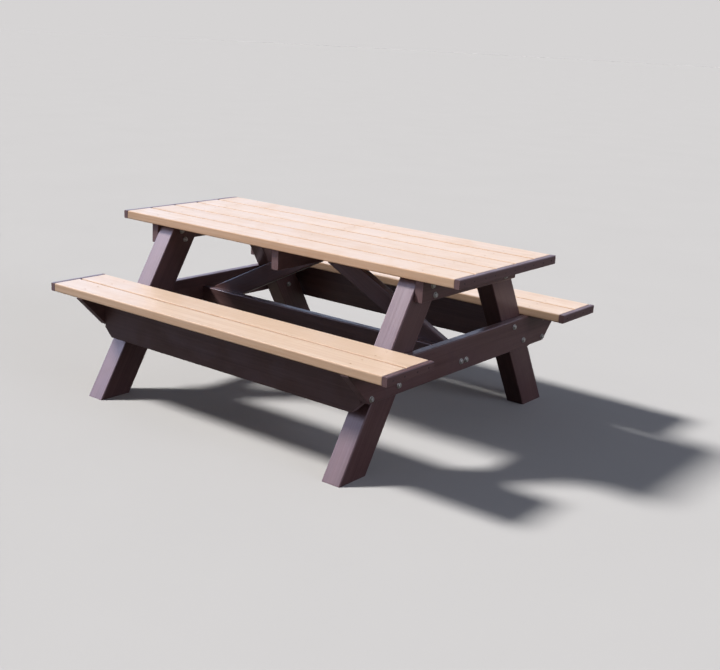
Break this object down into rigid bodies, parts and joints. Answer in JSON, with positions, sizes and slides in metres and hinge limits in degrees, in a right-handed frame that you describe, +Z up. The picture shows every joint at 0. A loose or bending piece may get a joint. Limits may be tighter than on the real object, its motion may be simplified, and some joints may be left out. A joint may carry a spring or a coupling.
{
  "type": "picnic table",
  "caption": "A-frame park picnic table with a plank top, two fixed plank benches, splayed post legs, seat beams, diagonal braces and bolted joints.",
  "frame": {"origin": "on the ground under the centre of the table top", "axes": "+X along the table and the benches, +Y across the table towards the rear bench, +Z up"},
  "size_m": [1.879, 1.58, 0.775],
  "materials": {
    "cedar_lumber": "cedar-coloured solid plastic lumber, faint streaks along the length, satin",
    "brown_lumber": "dark brown solid plastic lumber, faint streaks along the length, satin",
    "galvanised_steel": "hot-dip galvanised, dull grey",
    "tan_coated_steel": "deck screws with a coating that matches the cedar planks",
    "brown_coated_steel": "screws with a coating that matches the brown lumber"
  },
  "bodies": {
    "root": {"apron_lag_screws": "galvanised_steel", "brace_left": "brown_lumber", "brace_right": "brown_lumber", "brace_screws": "brown_coated_steel", "centre_rail": "brown_lumber", "frame_bolt_nuts": "galvanised_steel", "frame_bolt_washers": "galvanised_steel", "frame_bolts": "galvanised_steel", "front_seat_apron": "brown_lumber", "front_seat_end_trim_left": "brown_lumber", "front_seat_end_trim_right": "brown_lumber", "front_seat_plank_inner": "cedar_lumber", "front_seat_plank_outer": "cedar_lumber", "lag_screw_washers": "galvanised_steel", "leg_front_left": "brown_lumber", "leg_front_right": "brown_lumber", "leg_rear_left": "brown_lumber", "leg_rear_right": "brown_lumber", "rail_and_brace_lag_screws": "galvanised_steel", "rear_seat_apron": "brown_lumber", "rear_seat_end_trim_left": "brown_lumber", "rear_seat_end_trim_right": "brown_lumber", "rear_seat_plank_inner": "cedar_lumber", "rear_seat_plank_outer": "cedar_lumber", "seat_beam_left": "brown_lumber", "seat_beam_right": "brown_lumber", "seat_deck_screws": "tan_coated_steel", "seat_trim_screws": "brown_coated_steel", "top_cleat_centre": "brown_lumber", "top_cleat_left": "brown_lumber", "top_cleat_right": "brown_lumber", "top_deck_screws": "tan_coated_steel", "top_end_trim_left": "brown_lumber", "top_end_trim_right": "brown_lumber", "top_plank_1": "cedar_lumber", "top_plank_2": "cedar_lumber", "top_plank_3": "cedar_lumber", "top_plank_4": "cedar_lumber", "top_plank_5": "cedar_lumber", "top_trim_screws": "brown_coated_steel"}
  },
  "joints": []
}
